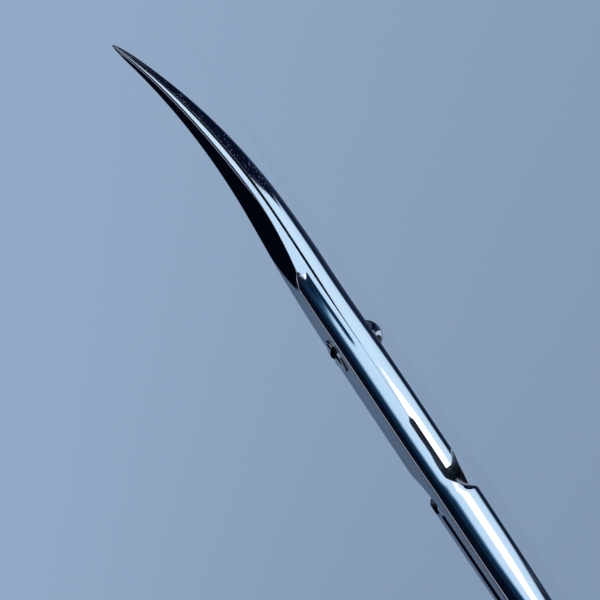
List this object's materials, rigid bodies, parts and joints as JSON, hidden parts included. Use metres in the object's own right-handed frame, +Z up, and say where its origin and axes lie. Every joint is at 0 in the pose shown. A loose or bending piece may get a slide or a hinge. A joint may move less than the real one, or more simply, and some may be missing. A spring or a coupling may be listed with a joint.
{
  "type": "cuticle scissors",
  "caption": "Polished steel cuticle scissors with narrow bowed blades, a slotted pivot screw, slim shanks and oval finger rings, opening at the screw.",
  "frame": {"origin": "on the floor plane below the middle of the closed scissors, which lie flat on the screw's domed end and the rings", "axes": "+X from the finger rings to the tips, +Z up and the way the tips bow, +Y towards the ring of the lower half"},
  "size_m": [0.11, 0.0542, 0.0055],
  "materials": {
    "forged_steel": "mirror-polished stainless steel with fine polishing lines",
    "screw_steel": "polished stainless steel"
  },
  "bodies": {
    "lower_scissor_half": {"lower_half": "forged_steel", "pivot_screw": "screw_steel"},
    "upper_scissor_half": {"upper_half": "forged_steel"}
  },
  "joints": [
    {"name": "pivot", "type": "hinge", "parent": "lower_scissor_half", "child": "upper_scissor_half", "pos_m": [0.0231, 0, 0.00255], "axis": [0, 0, 1], "range_deg": [0, 55]}
  ]
}
